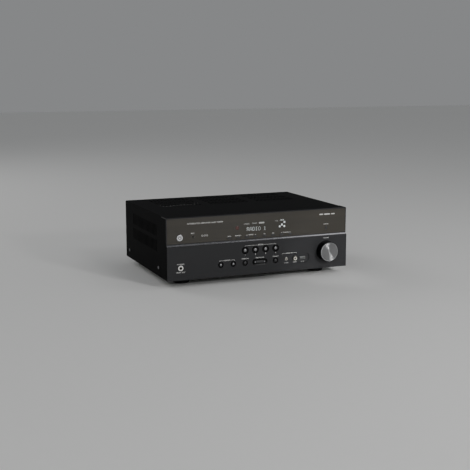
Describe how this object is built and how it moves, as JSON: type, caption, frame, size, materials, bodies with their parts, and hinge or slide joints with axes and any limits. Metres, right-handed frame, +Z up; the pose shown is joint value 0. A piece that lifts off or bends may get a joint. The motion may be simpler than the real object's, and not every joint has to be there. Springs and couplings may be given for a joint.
{
  "type": "integrated amplifier",
  "caption": "Full-width integrated receiver amplifier with a tinted display window, bevel band, front sockets, push buttons, turning volume control and rear speaker terminals.",
  "frame": {"origin": "centre of the whole object's plan, on the surface the feet stand on", "axes": "+X to the right of someone facing the front, +Y to the back, +Z up; the front looks along -Y"},
  "size_m": [0.4386, 0.346, 0.1524],
  "materials": {
    "front_moulding": "fine matte texture, painted charcoal",
    "display_window": "tinted acrylic with a brushed print behind it",
    "black_steel": "black textured powder coat",
    "zinc_steel": "galvanised sheet",
    "feet": "moulded",
    "black_screws": "black",
    "display_tube": "clear glass over a dark grid",
    "circuit_board": "solder resist",
    "black_moulding": "moulded",
    "nickel_socket": "nickel plated ring",
    "socket_shell": "tinned",
    "core_steel": "varnished laminations",
    "copper_winding": "enamelled copper under tape",
    "heat_sink": "black anodised",
    "capacitor_sleeve": "shrunk sleeve",
    "post_metal": "plated",
    "knob_body": "satin black",
    "knob_face": "spun, with a ring-cut surface",
    "shaft_steel": "turned",
    "power_button": "bright plated",
    "button_caps": "satin grey paint",
    "black_cap": "moulded",
    "red_cap": "clear-coated",
    "black_lever": "moulded",
    "red_lever": "moulded"
  },
  "bodies": {
    "chassis": {"front_moulding": "front_moulding", "display_window": "display_window", "top_cover": "black_steel", "chassis_base": "zinc_steel", "rear_panel": "black_steel", "feet": "feet", "case_screws": "black_screws", "display_tube": "display_tube", "front_board": "circuit_board", "tact_switches": "black_moulding", "volume_encoder": "black_moulding", "headphone_jack": "nickel_socket", "minijack_sockets": "nickel_socket", "video_socket": "nickel_socket", "flat_socket": "socket_shell", "transformer_core": "core_steel", "transformer_coils": "copper_winding", "heat_sink": "heat_sink", "power_transistors": "black_moulding", "amplifier_board": "circuit_board", "filter_capacitors": "capacitor_sleeve", "digital_board": "circuit_board", "av_sockets": "socket_shell", "phono_sockets": "nickel_socket", "tuner_module": "socket_shell", "binding_posts": "post_metal", "speaker_block": "black_moulding", "ac_inlet": "black_moulding"},
    "volume_control": {"volume_knob": "knob_body", "knob_face": "knob_face", "encoder_shaft": "shaft_steel"},
    "power_button": {"power_button": "power_button"},
    "direct_button": {"direct_button": "button_caps"},
    "mode_button_1": {"mode_button_1": "button_caps"},
    "mode_button_2": {"mode_button_2": "button_caps"},
    "mode_button_3": {"mode_button_3": "button_caps"},
    "mode_button_4": {"mode_button_4": "button_caps"},
    "input_button_down": {"input_button_down": "button_caps"},
    "input_button_up": {"input_button_up": "button_caps"},
    "tone_button": {"tone_button": "button_caps"},
    "straight_button": {"straight_button": "button_caps"},
    "info_key": {"info_key": "button_caps"},
    "memory_key": {"memory_key": "button_caps"},
    "preset_down_key": {"preset_down_key": "button_caps"},
    "preset_up_key": {"preset_up_key": "button_caps"},
    "fm_key": {"fm_key": "button_caps"},
    "am_key": {"am_key": "button_caps"},
    "tuning_down_key": {"tuning_down_key": "button_caps"},
    "tuning_up_key": {"tuning_up_key": "button_caps"},
    "program_rocker": {"program_rocker": "button_caps"},
    "post_cap_1": {"post_cap_1": "black_cap"},
    "post_cap_2": {"post_cap_2": "red_cap"},
    "post_cap_3": {"post_cap_3": "black_cap"},
    "post_cap_4": {"post_cap_4": "red_cap"},
    "clip_lever_1": {"clip_lever_1": "black_lever"},
    "clip_lever_2": {"clip_lever_2": "red_lever"},
    "clip_lever_3": {"clip_lever_3": "black_lever"},
    "clip_lever_4": {"clip_lever_4": "red_lever"},
    "clip_lever_5": {"clip_lever_5": "black_lever"},
    "clip_lever_6": {"clip_lever_6": "red_lever"}
  },
  "joints": [
    {"name": "volume_turn", "type": "hinge", "parent": "chassis", "child": "volume_control", "pos_m": [0.164, -0.155, 0.056], "axis": [0, 1, 0], "continuous": true},
    {"name": "power_button_press", "type": "slide", "parent": "chassis", "child": "power_button", "axis": [0, 1, 0], "range_m": [0, 0.001], "stiffness_N_per_m": 300, "springref_m": -0.0005},
    {"name": "direct_button_press", "type": "slide", "parent": "chassis", "child": "direct_button", "axis": [0, 1, 0], "range_m": [0, 0.001], "stiffness_N_per_m": 300, "springref_m": -0.0005},
    {"name": "mode_button_1_press", "type": "slide", "parent": "chassis", "child": "mode_button_1", "axis": [0, 1, 0], "range_m": [0, 0.001], "stiffness_N_per_m": 300, "springref_m": -0.0005},
    {"name": "mode_button_2_press", "type": "slide", "parent": "chassis", "child": "mode_button_2", "axis": [0, 1, 0], "range_m": [0, 0.001], "stiffness_N_per_m": 300, "springref_m": -0.0005},
    {"name": "mode_button_3_press", "type": "slide", "parent": "chassis", "child": "mode_button_3", "axis": [0, 1, 0], "range_m": [0, 0.001], "stiffness_N_per_m": 300, "springref_m": -0.0005},
    {"name": "mode_button_4_press", "type": "slide", "parent": "chassis", "child": "mode_button_4", "axis": [0, 1, 0], "range_m": [0, 0.001], "stiffness_N_per_m": 300, "springref_m": -0.0005},
    {"name": "input_button_down_press", "type": "slide", "parent": "chassis", "child": "input_button_down", "axis": [0, 1, 0], "range_m": [0, 0.001], "stiffness_N_per_m": 300, "springref_m": -0.0005},
    {"name": "input_button_up_press", "type": "slide", "parent": "chassis", "child": "input_button_up", "axis": [0, 1, 0], "range_m": [0, 0.001], "stiffness_N_per_m": 300, "springref_m": -0.0005},
    {"name": "tone_button_press", "type": "slide", "parent": "chassis", "child": "tone_button", "axis": [0, 1, 0], "range_m": [0, 0.001], "stiffness_N_per_m": 300, "springref_m": -0.0005},
    {"name": "straight_button_press", "type": "slide", "parent": "chassis", "child": "straight_button", "axis": [0, 1, 0], "range_m": [0, 0.001], "stiffness_N_per_m": 300, "springref_m": -0.0005},
    {"name": "info_key_press", "type": "slide", "parent": "chassis", "child": "info_key", "axis": [0, 1, 0], "range_m": [0, 0.001], "stiffness_N_per_m": 300, "springref_m": -0.0005},
    {"name": "memory_key_press", "type": "slide", "parent": "chassis", "child": "memory_key", "axis": [0, 1, 0], "range_m": [0, 0.001], "stiffness_N_per_m": 300, "springref_m": -0.0005},
    {"name": "preset_down_key_press", "type": "slide", "parent": "chassis", "child": "preset_down_key", "axis": [0, 1, 0], "range_m": [0, 0.001], "stiffness_N_per_m": 300, "springref_m": -0.0005},
    {"name": "preset_up_key_press", "type": "slide", "parent": "chassis", "child": "preset_up_key", "axis": [0, 1, 0], "range_m": [0, 0.001], "stiffness_N_per_m": 300, "springref_m": -0.0005},
    {"name": "fm_key_press", "type": "slide", "parent": "chassis", "child": "fm_key", "axis": [0, 1, 0], "range_m": [0, 0.001], "stiffness_N_per_m": 300, "springref_m": -0.0005},
    {"name": "am_key_press", "type": "slide", "parent": "chassis", "child": "am_key", "axis": [0, 1, 0], "range_m": [0, 0.001], "stiffness_N_per_m": 300, "springref_m": -0.0005},
    {"name": "tuning_down_key_press", "type": "slide", "parent": "chassis", "child": "tuning_down_key", "axis": [0, 1, 0], "range_m": [0, 0.001], "stiffness_N_per_m": 300, "springref_m": -0.0005},
    {"name": "tuning_up_key_press", "type": "slide", "parent": "chassis", "child": "tuning_up_key", "axis": [0, 1, 0], "range_m": [0, 0.001], "stiffness_N_per_m": 300, "springref_m": -0.0005},
    {"name": "program_rock", "type": "hinge", "parent": "chassis", "child": "program_rocker", "pos_m": [-0.001, -0.1494, 0.0433], "axis": [0, 0, 1], "range_deg": [-3, 3], "stiffness_Nm_per_rad": 0.2},
    {"name": "post_cap_1_turn", "type": "hinge", "parent": "chassis", "child": "post_cap_1", "pos_m": [-0.152, 0.165, 0.068], "axis": [0, 1, 0], "range_deg": [0, 1080]},
    {"name": "post_cap_2_turn", "type": "hinge", "parent": "chassis", "child": "post_cap_2", "pos_m": [-0.152, 0.165, 0.09], "axis": [0, 1, 0], "range_deg": [0, 1080]},
    {"name": "post_cap_3_turn", "type": "hinge", "parent": "chassis", "child": "post_cap_3", "pos_m": [-0.13, 0.165, 0.068], "axis": [0, 1, 0], "range_deg": [0, 1080]},
    {"name": "post_cap_4_turn", "type": "hinge", "parent": "chassis", "child": "post_cap_4", "pos_m": [-0.13, 0.165, 0.09], "axis": [0, 1, 0], "range_deg": [0, 1080]},
    {"name": "clip_lever_1_press", "type": "hinge", "parent": "chassis", "child": "clip_lever_1", "pos_m": [-0.098, 0.153, 0.081], "axis": [-1, 0, 0], "range_deg": [0, 15], "stiffness_Nm_per_rad": 0.05, "springref_deg": -5.73},
    {"name": "clip_lever_2_press", "type": "hinge", "parent": "chassis", "child": "clip_lever_2", "pos_m": [-0.085, 0.153, 0.081], "axis": [-1, 0, 0], "range_deg": [0, 15], "stiffness_Nm_per_rad": 0.05, "springref_deg": -5.73},
    {"name": "clip_lever_3_press", "type": "hinge", "parent": "chassis", "child": "clip_lever_3", "pos_m": [-0.072, 0.153, 0.081], "axis": [-1, 0, 0], "range_deg": [0, 15], "stiffness_Nm_per_rad": 0.05, "springref_deg": -5.73},
    {"name": "clip_lever_4_press", "type": "hinge", "parent": "chassis", "child": "clip_lever_4", "pos_m": [-0.059, 0.153, 0.081], "axis": [-1, 0, 0], "range_deg": [0, 15], "stiffness_Nm_per_rad": 0.05, "springref_deg": -5.73},
    {"name": "clip_lever_5_press", "type": "hinge", "parent": "chassis", "child": "clip_lever_5", "pos_m": [-0.046, 0.153, 0.081], "axis": [-1, 0, 0], "range_deg": [0, 15], "stiffness_Nm_per_rad": 0.05, "springref_deg": -5.73},
    {"name": "clip_lever_6_press", "type": "hinge", "parent": "chassis", "child": "clip_lever_6", "pos_m": [-0.033, 0.153, 0.081], "axis": [-1, 0, 0], "range_deg": [0, 15], "stiffness_Nm_per_rad": 0.05, "springref_deg": -5.73}
  ]
}
